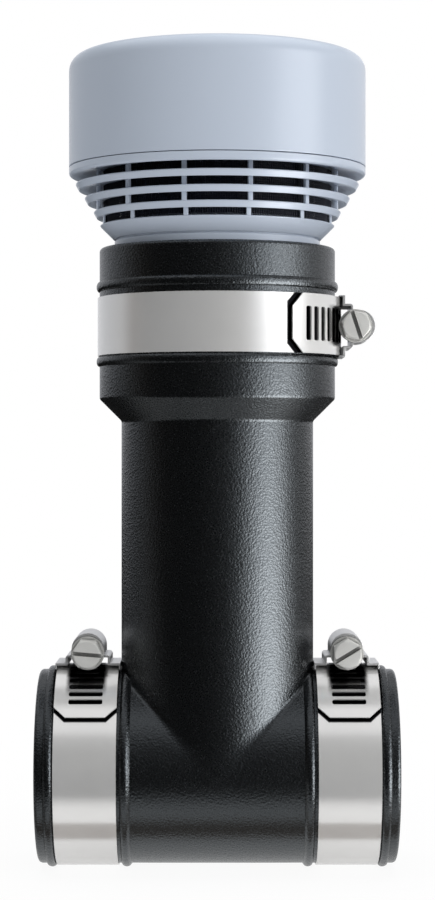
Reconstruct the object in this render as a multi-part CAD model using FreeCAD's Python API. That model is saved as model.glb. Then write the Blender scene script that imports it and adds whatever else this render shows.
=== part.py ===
import FreeCAD, Part
import math
import os

# Air admittance valve in a rubber tee connector, held by three worm-drive band clamps.
# Millimetres, +Z up the branch, +X along the straight run.
# The origin lies on the branch's axis, level with the lowest point of the run's ridges.

V = FreeCAD.Vector

# Rubber tee connector
branch_r = 25.0
run_step = 0.1              # the run's outside radius is this much larger than the branch's
crotch_round = 0.35         # rounding along the V where the branch meets the run
branch_length = 89.9        # from the run's axis to the start of the cone
cone_angle = 45.0
collar_r = 30.7
end_round = 1.0             # rounding at the ends of the run and at the collar's rim

pipe_r = 20.0               # the run's sockets take a pipe of 40 mm outside diameter
socket_depth = 27.0
waterway_r = 18.2           # between the sockets, equal to the bore of that pipe
branch_bore_r = 20.0
branch_taper_z = 18.0       # the bore widens from the waterway to the branch bore between
branch_taper_end_z = 30.0   # these two heights above the run's axis
collar_stop_height = 6.2    # the spigot's stop, above the start of the collar

run_ridge_height = 0.95
run_ridge_width = 2.4
run_end_land = 2.25         # from each outer ridge to the end of the run
collar_ridge_height = 0.8
collar_ridge_width = 2.6
collar_foot = 8.4           # from the start of the collar to its lower ridge
collar_rim_land = 8.8       # from its upper ridge to the rim

# Band clamps
band_thickness = 0.45
band_gap = 0.05             # between the strip and what it lies on
run_band_width = 15.9
collar_band_width = 15.1
band_inner_gap = 0.8        # along the run, from the inner ridge to the band
band_outer_gap = 0.2        # and from the band to the outer ridge
band_low_gap = 0.2          # up the collar, from the lower ridge to the band
band_high_gap = 1.5         # and from the band to the upper ridge
clamp_branch_gap = 0.05     # between the branch and the housings on the run
saddle_thickness = 0.55
housing_half_length = 8.0
tail_end_length = 25.5      # along the band, from the middle of the housing to the tail's end
tail_chamfer = 2.9
slot_length = 8.7
slot_width = 1.25
slot_pitch = 2.55
slot_first_length = 20.9    # along the band, from the middle of the housing to the first slot
slot_last_length = -8.0     # and to the last one
ramp_start_angle = 300.0    # degrees round from the housing, where the strip starts to climb
ramp_end_angle = 336.0
strip_start_angle = -17.0

screw_height = 4.4          # screw axis above the outside of the band
worm_r = 2.85
neck_r = 2.2
tip_r = 1.6
bearing_clearance = 0.06
flange_r = 4.3
flange_thickness = 0.9
hexagon_across_flats = 7.0
hexagon_length = 4.4
head_slot_width = 1.0
head_slot_depth = 1.6
head_gap = 0.1              # between the screw's flange and the housing
collar_head_angle = -18.0   # how far each screw's slot stands turned
left_head_angle = 5.0
right_head_angle = -31.0

hood_r = 4.2
hood_rise = 0.95            # centre of the hood above the screw axis
hood_plate = 0.6
hood_wall_r = 3.2           # the end walls reach this far below the screw axis
shoulder_drop = 0.55        # top of the hood's shoulders below the screw axis
leg_offset = 5.75           # from the screw axis to the outside of each leg
leg_round = 0.8             # outside rounding between shoulder and leg
ear_gap = 0.1
lip_gap = 0.05              # between the band's edges and the lips
lip_plate = 0.35
lip_depth = 1.0

# Valve spigot with its funnel, and the louvre cage
spigot_r = 25.0
socket_clearance = 0.05
spigot_wall = 2.6
spigot_end_gap = 1.2        # between the spigot's end and the stop in the collar
spigot_chamfer = 0.8
shoulder_step = 1.8         # from the spigot out to the shoulder
shoulder_height = 2.0
groove_height = 0.35
groove_depth = 0.6
funnel_overhang = 0.25      # from the shoulder out to the funnel's foot
funnel_height = 3.61
cage_ledge = 0.7            # from the cage's bore out to the funnel's top
neck_wall = 1.9
neck_rise = 1.3             # top of the neck above the foot of the lowest slot
trough_depth = 2.2
trough_foot_share = 0.2     # how far out the trough's floor reaches, of its width at the top

slot_height = 1.86
louvre_pitch = 3.63
louvre_count = 3            # rings between the funnel and the top flange
louvre_first_depth = 2.5    # from the cage's bore out to the edge of the lowest ring
louvre_step_r = 2.35
louvre_taper = 1.0
louvre_edge = 0.15
post_count = 12
post_width = 1.2
post_inset = 0.1            # the posts stand inside that edge
post_depth = 1.1

cap_r = 38.665
cage_overhang = 8.765       # from the cage's bore out to the cap's side
flange_height = 2.2
flange_round = 0.8
outer_seat_width = 1.7
seat_rise = 2.3             # seats above the flange's top
seat_land = 0.7
locating_wall = 2.2
locating_height = 4.8
gasket_half = 0.7           # half the width of its square section
gasket_gap = 0.02           # between the seal and the faces on its sides
gasket_height = 1.9         # middle of the seal above the flange's top

# Cap
seam_gap = 0.2
cap_height = 29.1
cap_round = 4.15
cap_wall = 2.2
cap_fit = 0.12              # between the cap's skirt and the locating ring

# Insect screen
screen_gap = 0.15
screen_wall = 0.45
screen_columns = 12
screen_bar = 1.3

# Seat tube with its guide spider
seat_tube_fit = 0.05
seat_tube_plug = 12.0
seat_tube_wall = 1.9
hub_r = 5.4
hub_length = 8.0
hub_top_drop = 6.0          # top of the hub below the seats
spider_arms = 4
spider_arm_width = 2.0
spider_arm_height = 4.0

# Guide bush, stem and clip
stem_r = 2.5
stem_clearance = 0.05
bush_wall = 1.05
bush_flange_r = 4.8
bush_flange_height = 0.8
bush_fit = 0.03
clip_r = 4.4
clip_thickness = 0.9
clip_groove_depth = 0.5
stem_below_clip = 1.5
lift = 4.5                  # travel of the valve disc
lift_play = 0.1

# Valve disc, membrane and retainer
seat_gap = 0.1              # between the membrane and its seats at rest
membrane_thickness = 1.2
membrane_lap = 2.3          # from the cage's bore out to the membrane's edge
membrane_hole_gap = 0.05
carrier_lap = 1.7           # and to the carrier's edge
carrier_thickness = 1.5
carrier_rim_height = 1.6
carrier_rim_wall = 1.2
carrier_neck_wall = 1.3
retainer_clearance = 0.5    # between the retainer and the seat tube's bore
retainer_wall = 2.0
retainer_height = 1.7
disc_hub_r = 4.6
disc_hub_height = 4.0
disc_arms = 4
disc_arm_width = 2.4

# Heights and radii that follow from the sizes above
clamp_x = branch_r + clamp_branch_gap + lip_plate + lip_gap + run_band_width / 2
run_ridge_inner_x = clamp_x - run_band_width / 2 - band_inner_gap - run_ridge_width / 2
run_ridge_outer_x = clamp_x + run_band_width / 2 + band_outer_gap + run_ridge_width / 2
run_half_length = run_ridge_outer_x + run_ridge_width / 2 + run_end_land
run_r = branch_r + run_step
run_axis_z = run_r + run_ridge_height
cone_z = run_axis_z + branch_length
collar_z = cone_z + (collar_r - branch_r) / math.tan(math.radians(cone_angle))
collar_ridge_low_z = collar_z + collar_foot + collar_ridge_width / 2
collar_band_z = collar_ridge_low_z + collar_ridge_width / 2 + band_low_gap + collar_band_width / 2
collar_ridge_high_z = collar_band_z + collar_band_width / 2 + band_high_gap + collar_ridge_width / 2
rim_z = collar_ridge_high_z + collar_ridge_width / 2 + collar_rim_land
collar_stop_z = collar_z + collar_stop_height
spigot_bore_r = spigot_r - spigot_wall
shoulder_r = spigot_r + shoulder_step
funnel_foot_r = shoulder_r + funnel_overhang
cage_bore_r = cap_r - cage_overhang
funnel_top_r = cage_bore_r + cage_ledge
louvre_first_r = cage_bore_r + louvre_first_depth
post_r = louvre_first_r - post_inset
neck_r_outer = spigot_bore_r + neck_wall
funnel_z = rim_z + shoulder_height + groove_height
louvre_z = funnel_z + funnel_height
flange_z = louvre_z + louvre_count * louvre_pitch + slot_height
flange_top_z = flange_z + flange_height
seat_z = flange_top_z + seat_rise
neck_top_z = louvre_z + neck_rise
cap_z = flange_top_z + seam_gap
cap_bore_r = cap_r - cap_wall
locating_r = cap_bore_r - cap_fit
gasket_r = cap_bore_r - gasket_gap - gasket_half
seat_tube_bore_r = neck_r_outer - 2 * seat_tube_wall
retainer_r = seat_tube_bore_r - retainer_clearance
carrier_neck_r = retainer_r - retainer_wall
membrane_r = cage_bore_r + membrane_lap
carrier_r = cage_bore_r + carrier_lap
hub_top_z = seat_z - hub_top_drop
hub_z = hub_top_z - hub_length
membrane_z = seat_z + seat_gap
carrier_z = membrane_z + membrane_thickness
clip_z = hub_z - lift - lift_play - clip_thickness
stem_end_z = clip_z - stem_below_clip


def corner(radius_centre, height_centre, radius, middle_angle, end_angle):
    """A rounded corner of an outline, as the arc's middle point and its end point."""
    points = []
    for angle in (middle_angle, end_angle):
        points.append(radius_centre + radius * math.cos(math.radians(angle)))
        points.append(height_centre + radius * math.sin(math.radians(angle)))
    return tuple(points)


def outline(steps):
    """A flat closed face in the XZ plane. A step of four numbers is an arc."""
    edges = []
    here = V(steps[0][0], 0, steps[0][1])
    for step in steps[1:] + steps[:1]:
        end = V(step[-2], 0, step[-1])
        if len(step) == 4:
            edges.append(Part.Arc(here, V(step[0], 0, step[1]), end).toShape())
        else:
            edges.append(Part.LineSegment(here, end).toShape())
        here = end
    return Part.Face(Part.Wire(edges))


def turned(steps):
    """A solid turned about the Z axis from its half section."""
    return outline(steps).revolve(V(0, 0, 0), V(0, 0, 1), 360)


def ring(inner_r, outer_r, low_z, high_z):
    """A plain ring with a square section."""
    return turned([(inner_r, low_z), (outer_r, low_z), (outer_r, high_z), (inner_r, high_z)])


def along_x(shape, x):
    """Lay a shape that was turned about Z along the run, centred at x."""
    laid = shape.copy()
    laid.rotate(V(0, 0, 0), V(0, 1, 0), 90)
    laid.translate(V(x, 0, run_axis_z))
    return laid


def radial_block(inner_r, outer_r, width, low_z, high_z, angle):
    """A block that stands out along a radius."""
    block = Part.makeBox(outer_r - inner_r, width, high_z - low_z, V(inner_r, -width / 2, low_z))
    block.rotate(V(0, 0, 0), V(0, 0, 1), angle)
    return block


def ridge(radius, height, width):
    """A half-round ridge round a cylinder, with its root sunk into the wall."""
    root_r = radius - height
    return turned([(root_r, -width / 2), (radius, -width / 2), (radius + height, 0, radius, width / 2),
                   (root_r, width / 2)])


def round_bar(radius, low_z, high_z, rounding):
    """A cylinder with both of its edges rounded."""
    return turned([
        (0, low_z),
        (radius - rounding, low_z),
        corner(radius - rounding, low_z + rounding, rounding, -45, 0),
        (radius, high_z - rounding),
        corner(radius - rounding, high_z - rounding, rounding, 45, 90),
        (0, high_z),
    ])


def tee_connector():
    """Run, branch, cone and collar in one rubber moulding, with its bores and ridges."""
    run = along_x(round_bar(run_r, -run_half_length, run_half_length, end_round), 0)
    branch = turned([
        (0, run_axis_z),
        (branch_r, run_axis_z),
        (branch_r, cone_z),
        (collar_r, collar_z),
        (collar_r, rim_z - end_round),
        corner(collar_r - end_round, rim_z - end_round, end_round, 45, 90),
        (0, rim_z),
    ])
    joined = run.fuse(branch).removeSplitter()
    crotch = [edge for edge in joined.Edges if edge.Curve.TypeId == "Part::GeomBSplineCurve"]
    joined = joined.makeFillet(crotch_round, crotch)

    ridges = []
    for side in (-1, 1):
        for x in (run_ridge_inner_x, run_ridge_outer_x):
            ridges.append(along_x(ridge(run_r, run_ridge_height, run_ridge_width), side * x))
    for height in (collar_ridge_low_z, collar_ridge_high_z):
        collar_ridge = ridge(collar_r, collar_ridge_height, collar_ridge_width)
        collar_ridge.translate(V(0, 0, height))
        ridges.append(collar_ridge)

    socket_start = run_half_length - socket_depth
    run_bore = along_x(turned([
        (0, -run_half_length - end_round),
        (pipe_r, -run_half_length - end_round),
        (pipe_r, -socket_start),
        (waterway_r, -socket_start),
        (waterway_r, socket_start),
        (pipe_r, socket_start),
        (pipe_r, run_half_length + end_round),
        (0, run_half_length + end_round),
    ]), 0)
    collar_bore_r = spigot_r + socket_clearance
    branch_bore = turned([
        (0, run_axis_z),
        (waterway_r, run_axis_z),
        (waterway_r, run_axis_z + branch_taper_z),
        (branch_bore_r, run_axis_z + branch_taper_end_z),
        (branch_bore_r, cone_z),
        (spigot_bore_r, collar_z),
        (spigot_bore_r, collar_stop_z),
        (collar_bore_r, collar_stop_z),
        (collar_bore_r, rim_z + end_round),
        (0, rim_z + end_round),
    ])
    return joined.fuse(ridges).cut([run_bore, branch_bore])


def band_point(radius, angle):
    """A point of the strip's path: angle 0 is under the screw, positive runs to the front."""
    turn = math.radians(angle)
    return V(0, -radius * math.sin(turn), radius * math.cos(turn))


def band_arc(radius, start, end):
    """An arc of the strip about the clamp's centre."""
    middle = (start + end) / 2
    return Part.Arc(band_point(radius, start), band_point(radius, middle), band_point(radius, end)).toShape()


def band(wrapped_r, width):
    """One strip: once round, then up a ramp and over its own start, ending in a slotted tail."""
    inner_r = wrapped_r + band_gap
    tail_r = inner_r + band_thickness + band_gap + saddle_thickness + band_gap
    degrees_per_mm = 180 / (math.pi * tail_r)
    tail_end = 360 + tail_end_length * degrees_per_mm
    half_way = (strip_start_angle + ramp_start_angle) / 2
    ramp_middle = (ramp_start_angle + ramp_end_angle) / 2
    faces = []
    for lift_off in (0, band_thickness):
        low = inner_r + lift_off
        high = tail_r + lift_off
        ramp = Part.Arc(band_point(low, ramp_start_angle), band_point((low + high) / 2, ramp_middle),
                        band_point(high, ramp_end_angle)).toShape()
        faces.append([band_arc(low, strip_start_angle, half_way), band_arc(low, half_way, ramp_start_angle),
                      ramp, band_arc(high, ramp_end_angle, tail_end)])
    inside, outside = faces
    start_cap = Part.LineSegment(band_point(inner_r, strip_start_angle),
                                 band_point(inner_r + band_thickness, strip_start_angle)).toShape()
    end_cap = Part.LineSegment(band_point(tail_r, tail_end),
                               band_point(tail_r + band_thickness, tail_end)).toShape()
    section = Part.Face(Part.Wire(Part.__sortEdges__(inside + [end_cap] + outside + [start_cap])))
    section.translate(V(-width / 2, 0, 0))
    strip = section.extrude(V(width, 0, 0))

    cuts = []
    count = int((slot_first_length - slot_last_length) / slot_pitch) + 1
    for number in range(count):
        distance = slot_first_length - number * slot_pitch
        cuts.append(band_slot(tail_r, distance * degrees_per_mm))
    for side in (-1, 1):
        cuts.append(tail_corner(tail_r, tail_end, side * width / 2, side))
    return strip.cut(cuts)


def band_slot(tail_r, angle):
    """The space of one worm slot, through the tail only."""
    depth = band_thickness + band_gap
    low = tail_r - band_gap / 2
    half = (slot_length - slot_width) / 2
    slot = Part.makeBox(2 * half, slot_width, depth, V(-half, -slot_width / 2, low))
    for side in (-1, 1):
        slot = slot.fuse(Part.makeCylinder(slot_width / 2, depth, V(side * half, 0, low)))
    slot.rotate(V(0, 0, 0), V(1, 0, 0), angle)
    return slot


def tail_corner(tail_r, tail_end, x, side):
    """A wedge that takes one corner off the end of the tail."""
    low = tail_r - band_gap / 2
    reach = 2 * tail_chamfer
    points = [V(x - side * tail_chamfer, 0, low), V(x + side * tail_chamfer, 0, low),
              V(x + side * tail_chamfer, reach, low), V(x, tail_chamfer, low)]
    wedge = Part.Face(Part.makePolygon(points + points[:1])).extrude(V(0, 0, band_thickness + band_gap))
    wedge.rotate(V(0, 0, 0), V(1, 0, 0), tail_end)
    return wedge


def saddle(wrapped_r, width):
    """A curved plate between the strip's two layers, as long as the housing."""
    inner_r = wrapped_r + band_gap + band_thickness + band_gap
    spread = math.degrees(math.asin(housing_half_length / inner_r))
    section = Part.Wire(Part.__sortEdges__([
        band_arc(inner_r, -spread, spread),
        band_arc(inner_r + saddle_thickness, -spread, spread),
        Part.LineSegment(band_point(inner_r, -spread),
                         band_point(inner_r + saddle_thickness, -spread)).toShape(),
        Part.LineSegment(band_point(inner_r, spread),
                         band_point(inner_r + saddle_thickness, spread)).toShape(),
    ]))
    face = Part.Face(section)
    face.translate(V(-width / 2, 0, 0))
    return face.extrude(V(width, 0, 0))


def screw_axis_r(wrapped_r):
    """Distance from the clamp's centre to its screw's axis."""
    return wrapped_r + band_gap + band_thickness + screw_height


def housing(wrapped_r, width):
    """A pressed hood over the worm: arch, shoulders, legs, ears and turned-down lips."""
    axis_r = screw_axis_r(wrapped_r)
    tail_top_r = wrapped_r + 3 * band_gap + 2 * band_thickness + saddle_thickness
    ear_z = tail_top_r + ear_gap
    hood_z = axis_r + hood_rise
    inner_lip = width / 2 + lip_gap
    outer_lip = inner_lip + lip_plate
    inner_hood_r = hood_r - hood_plate
    inner_leg = leg_offset - hood_plate
    shoulder_z = axis_r - shoulder_drop
    inner_shoulder_z = shoulder_z - hood_plate
    round_x = leg_offset - leg_round
    round_z = shoulder_z - leg_round
    plate = outline([
        (-hood_r, shoulder_z),
        (-hood_r, hood_z),
        (0, hood_z + hood_r, hood_r, hood_z),
        (hood_r, shoulder_z),
        (round_x, shoulder_z),
        corner(round_x, round_z, leg_round, 45, 0),
        (leg_offset, ear_z + hood_plate),
        (outer_lip, ear_z + hood_plate),
        (outer_lip, ear_z - lip_depth),
        (inner_lip, ear_z - lip_depth),
        (inner_lip, ear_z),
        (inner_leg, ear_z),
        (inner_leg, inner_shoulder_z),
        (inner_hood_r, inner_shoulder_z),
        (inner_hood_r, hood_z),
        (0, hood_z + inner_hood_r, -inner_hood_r, hood_z),
        (-inner_hood_r, inner_shoulder_z),
        (-inner_leg, inner_shoulder_z),
        (-inner_leg, ear_z),
        (-inner_lip, ear_z),
        (-inner_lip, ear_z - lip_depth),
        (-outer_lip, ear_z - lip_depth),
        (-outer_lip, ear_z + hood_plate),
        (-leg_offset, ear_z + hood_plate),
        (-leg_offset, round_z),
        corner(-round_x, round_z, leg_round, 135, 90),
    ])
    plate.translate(V(0, -housing_half_length, 0))
    shell = plate.extrude(V(0, 2 * housing_half_length, 0))

    end_walls = []
    bores = []
    for y, bore_r in ((-housing_half_length, neck_r), (housing_half_length - hood_plate, tip_r)):
        arch = outline([
            (-inner_hood_r, inner_shoulder_z),
            (-inner_hood_r, hood_z),
            (0, hood_z + inner_hood_r, inner_hood_r, hood_z),
            (inner_hood_r, inner_shoulder_z),
        ])
        arch.translate(V(0, y, 0))
        end_walls.append(arch.extrude(V(0, hood_plate, 0)))
        end_walls.append(Part.makeCylinder(hood_wall_r, hood_plate, V(0, y, axis_r), V(0, 1, 0)))
        bores.append(Part.makeCylinder(bore_r + bearing_clearance, hood_plate, V(0, y, axis_r), V(0, 1, 0)))
    return shell.fuse(end_walls).removeSplitter().cut(bores)


def hexagon_prism(across_flats, length, start):
    """A hexagon bar along +Y, with two of its corners on the X axis."""
    corner_r = across_flats / math.sqrt(3)
    points = []
    for number in range(7):
        turn = math.radians(60 * number)
        points.append(V(corner_r * math.cos(turn), start, corner_r * math.sin(turn)))
    return Part.Face(Part.makePolygon(points)).extrude(V(0, length, 0))


def screw(wrapped_r, head_angle):
    """A worm screw along Y: slotted hexagon head, flange, neck, worm and tip."""
    inside = housing_half_length - hood_plate
    head_back = -housing_half_length - head_gap
    flange_front = head_back - flange_thickness
    head_front = flange_front - hexagon_length
    play = bearing_clearance
    shaft = turned([
        (0, flange_front),
        (flange_r, flange_front),
        (flange_r, head_back),
        (neck_r, head_back),
        (neck_r, -inside + play),
        (worm_r, -inside + play),
        (worm_r, inside - play),
        (tip_r, inside - play),
        (tip_r, housing_half_length),
        (0, housing_half_length),
    ])
    shaft.rotate(V(0, 0, 0), V(1, 0, 0), -90)
    head = hexagon_prism(hexagon_across_flats, hexagon_length, head_front)
    crown = Part.makeCone(hexagon_across_flats / 2 * 0.94, hexagon_across_flats / 2 * 0.94 + hexagon_length,
                          hexagon_length, V(0, head_front, 0), V(0, 1, 0))
    slot = Part.makeBox(hexagon_across_flats * 2, head_slot_depth, head_slot_width,
                        V(-hexagon_across_flats, head_front, -head_slot_width / 2))
    whole = shaft.fuse(head.common(crown)).cut(slot)
    whole.rotate(V(0, 0, 0), V(0, 1, 0), head_angle)
    whole.translate(V(0, 0, screw_axis_r(wrapped_r)))
    return whole


def on_run(shape, side):
    """Set a clamp piece on the run, between its two ridges."""
    placed = shape.copy()
    placed.translate(V(side * clamp_x, 0, run_axis_z))
    return placed


def on_collar(shape):
    """Set a clamp piece on the collar, with its screw on the +X side."""
    placed = shape.copy()
    placed.rotate(V(0, 0, 0), V(0, 1, 0), 90)
    placed.translate(V(0, 0, collar_band_z))
    return placed


def valve_spigot():
    """Spigot, shoulder and funnel, with a neck inside for the seat tube."""
    spigot_end_z = collar_stop_z + spigot_end_gap
    trough_z = louvre_z - trough_depth
    ledge_r = cage_bore_r - 2 * screen_wall - screen_gap
    trough_foot_r = neck_r_outer + trough_foot_share * (ledge_r - neck_r_outer)
    return turned([
        (spigot_bore_r, spigot_end_z),
        (spigot_r - spigot_chamfer, spigot_end_z),
        (spigot_r, spigot_end_z + spigot_chamfer),
        (spigot_r, rim_z),
        (shoulder_r, rim_z),
        (shoulder_r, rim_z + shoulder_height),
        (shoulder_r - groove_depth, rim_z + shoulder_height),
        (shoulder_r - groove_depth, funnel_z),
        (funnel_foot_r, funnel_z),
        (funnel_top_r, louvre_z - louvre_edge),
        (funnel_top_r - louvre_edge, louvre_z),
        (ledge_r, louvre_z),
        (trough_foot_r, trough_z),
        (neck_r_outer, trough_z + screen_wall),
        (neck_r_outer, neck_top_z),
        (spigot_bore_r, neck_top_z),
    ])


def louvre_cage():
    """Louvre rings on their posts, with the flange, the outer seat and the locating ring."""
    rings = []
    for number in range(louvre_count):
        top_z = louvre_z + (number + 1) * louvre_pitch
        low_z = top_z - louvre_pitch + slot_height
        radius = louvre_first_r + number * louvre_step_r
        rings.append(turned([
            (cage_bore_r, low_z),
            (radius - louvre_taper - louvre_edge, low_z),
            (radius - louvre_taper, low_z + louvre_edge),
            (radius, top_z - louvre_edge),
            (radius - louvre_edge, top_z),
            (cage_bore_r, top_z),
        ]))
    flange = turned([
        (cage_bore_r, flange_z),
        (cap_r - flange_round, flange_z),
        corner(cap_r - flange_round, flange_z + flange_round, flange_round, -45, 0),
        (cap_r, flange_top_z),
        (locating_r - locating_wall, flange_top_z),
        (cage_bore_r + outer_seat_width, flange_top_z),
        (cage_bore_r + outer_seat_width, seat_z - seat_land),
        (cage_bore_r + seat_land, seat_z),
        (cage_bore_r, seat_z),
    ])
    groove_r = gasket_r - gasket_half - gasket_gap
    groove_low = flange_top_z + gasket_height - gasket_half - gasket_gap
    groove_high = flange_top_z + gasket_height + gasket_half + gasket_gap
    locating_ring = turned([
        (locating_r - locating_wall, flange_z + flange_height / 2),
        (locating_r, flange_z + flange_height / 2),
        (locating_r, groove_low),
        (groove_r, groove_low),
        (groove_r, groove_high),
        (locating_r, groove_high),
        (locating_r, flange_top_z + locating_height - louvre_edge),
        (locating_r - louvre_edge, flange_top_z + locating_height),
        (locating_r - locating_wall, flange_top_z + locating_height),
    ])
    first_ring_z = louvre_z + louvre_pitch
    overlap = louvre_edge
    posts = []
    for number in range(post_count):
        angle = (number + 0.5) * 360 / post_count
        posts.append(radial_block(cage_bore_r, funnel_top_r - louvre_edge, post_width,
                                  louvre_z, louvre_z + slot_height + overlap, angle))
        posts.append(radial_block(post_r - post_depth, post_r - louvre_edge, post_width,
                                  first_ring_z - overlap, flange_z + overlap, angle))
    return flange.fuse([locating_ring] + rings + posts).removeSplitter()


def vent_cap():
    """A turned cup with a large outside rounding."""
    top_z = cap_z + cap_height
    inner_round = cap_round - cap_wall / 2
    return turned([
        (cap_bore_r, cap_z),
        (cap_r, cap_z),
        (cap_r, top_z - cap_round),
        corner(cap_r - cap_round, top_z - cap_round, cap_round, 45, 90),
        (0, top_z),
        (0, top_z - cap_wall),
        (cap_bore_r - inner_round, top_z - cap_wall),
        corner(cap_bore_r - inner_round, top_z - cap_wall - inner_round, inner_round, 45, 0),
    ])


def cap_gasket():
    """A square seal in the groove of the locating ring."""
    middle_z = flange_top_z + gasket_height
    return ring(gasket_r - gasket_half, gasket_r + gasket_half,
                middle_z - gasket_half, middle_z + gasket_half)


def insect_screen():
    """A thin drum behind the louvres, with tall windows."""
    outer_r = cage_bore_r - screen_gap
    top_z = flange_top_z + seat_rise / 2
    drum = ring(outer_r - screen_wall, outer_r, louvre_z, top_z)
    window_width = 2 * math.pi * outer_r / screen_columns - screen_bar
    windows = []
    for column in range(screen_columns):
        windows.append(radial_block(outer_r - 2 * screen_wall, outer_r + screen_wall, window_width,
                                    louvre_z + screen_bar, flange_z - screen_bar,
                                    column * 360 / screen_columns))
    return drum.cut(windows)


def seat_tube():
    """The inner seat: a tube plugged into the neck, with a spider that holds the guide bush."""
    plug_r = spigot_bore_r - seat_tube_fit
    shell = turned([
        (seat_tube_bore_r, neck_top_z - seat_tube_plug),
        (plug_r, neck_top_z - seat_tube_plug),
        (plug_r, neck_top_z),
        (neck_r_outer, neck_top_z),
        (neck_r_outer, seat_z - seat_land),
        (neck_r_outer - seat_land, seat_z),
        (neck_r_outer - 2 * seat_land, seat_z),
        (seat_tube_bore_r, seat_z - seat_land),
    ])
    hub = ring(stem_r + stem_clearance + bush_wall + bush_fit, hub_r, hub_z, hub_top_z)
    hub_wall = hub_r - (stem_r + stem_clearance + bush_wall)
    arms = []
    for number in range(spider_arms):
        arms.append(radial_block(hub_r - hub_wall / 2, seat_tube_bore_r + seat_tube_wall / 2,
                                 spider_arm_width, hub_z, hub_z + spider_arm_height,
                                 45 + number * 360 / spider_arms))
    return shell.fuse([hub] + arms).removeSplitter()


def guide_bush():
    """A plain flanged bush that guides the stem."""
    bore_r = stem_r + stem_clearance
    return turned([
        (bore_r, hub_z),
        (bore_r + bush_wall, hub_z),
        (bore_r + bush_wall, hub_top_z),
        (bush_flange_r, hub_top_z),
        (bush_flange_r, hub_top_z + bush_flange_height),
        (bore_r, hub_top_z + bush_flange_height),
    ])


def valve_disc():
    """The carrier: a ring on arms round a hub, with the stem below and a neck for the retainer."""
    top_z = carrier_z + carrier_thickness
    plate = turned([
        (carrier_neck_r - carrier_neck_wall, membrane_z - retainer_height),
        (carrier_neck_r, membrane_z - retainer_height),
        (carrier_neck_r, carrier_z),
        (carrier_r, carrier_z),
        (carrier_r, top_z + carrier_rim_height),
        (carrier_r - carrier_rim_wall, top_z + carrier_rim_height),
        (carrier_r - carrier_rim_wall, top_z),
        (carrier_neck_r - carrier_neck_wall, top_z),
    ])
    stem = turned([
        (0, stem_end_z),
        (stem_r, stem_end_z),
        (stem_r, clip_z),
        (stem_r - clip_groove_depth, clip_z),
        (stem_r - clip_groove_depth, clip_z + clip_thickness),
        (stem_r, clip_z + clip_thickness),
        (stem_r, carrier_z),
        (disc_hub_r, carrier_z),
        (disc_hub_r, carrier_z + disc_hub_height),
        (0, carrier_z + disc_hub_height),
    ])
    arms = []
    for number in range(disc_arms):
        arms.append(radial_block(disc_hub_r / 2, carrier_neck_r, disc_arm_width, carrier_z, top_z,
                                 number * 360 / disc_arms))
    return plate.fuse([stem] + arms).removeSplitter()


def membrane():
    """A flat rubber ring that lies on both seats."""
    return ring(carrier_neck_r + membrane_hole_gap, membrane_r, membrane_z, carrier_z)


def membrane_retainer():
    """A ring pushed on the carrier's neck, which holds the membrane from below."""
    return ring(carrier_neck_r + membrane_hole_gap, retainer_r, membrane_z - retainer_height, membrane_z)


def stem_clip():
    """A clip in the stem's groove, open on one side, that stops the lift."""
    washer = ring(stem_r - clip_groove_depth, clip_r, clip_z, clip_z + clip_thickness)
    mouth = radial_block(0, clip_r * 2, stem_r, clip_z, clip_z + clip_thickness, 90)
    return washer.cut(mouth)


def build_parts():
    """Every piece by its name."""
    parts = {
        "tee_connector": tee_connector(),
        "valve_spigot": valve_spigot(),
        "louvre_cage": louvre_cage(),
        "vent_cap": vent_cap(),
        "cap_gasket": cap_gasket(),
        "insect_screen": insect_screen(),
        "seat_tube": seat_tube(),
        "guide_bush": guide_bush(),
        "valve_disc": valve_disc(),
        "membrane": membrane(),
        "membrane_retainer": membrane_retainer(),
        "stem_clip": stem_clip(),
        "collar_band": on_collar(band(collar_r, collar_band_width)),
        "collar_saddle": on_collar(saddle(collar_r, collar_band_width)),
        "collar_housing": on_collar(housing(collar_r, collar_band_width)),
        "collar_screw": on_collar(screw(collar_r, collar_head_angle)),
    }
    for name, side, head_angle in (("left", -1, left_head_angle), ("right", 1, right_head_angle)):
        parts[name + "_band"] = on_run(band(run_r, run_band_width), side)
        parts[name + "_saddle"] = on_run(saddle(run_r, run_band_width), side)
        parts[name + "_housing"] = on_run(housing(run_r, run_band_width), side)
        parts[name + "_screw"] = on_run(screw(run_r, head_angle), side)
    return parts


os.makedirs("parts", exist_ok=True)
for name, shape in build_parts().items():
    shape.exportStep("parts/" + name + ".step")
    size = shape.BoundBox
    print(f"{name}: {len(shape.Solids)} solid, valid {shape.isValid()}, {shape.Volume:.1f} mm3, "
          f"X {size.XMin:.2f} to {size.XMax:.2f}, Y {size.YMin:.2f} to {size.YMax:.2f}, "
          f"Z {size.ZMin:.2f} to {size.ZMax:.2f}")
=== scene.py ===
# %% [markdown]
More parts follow.
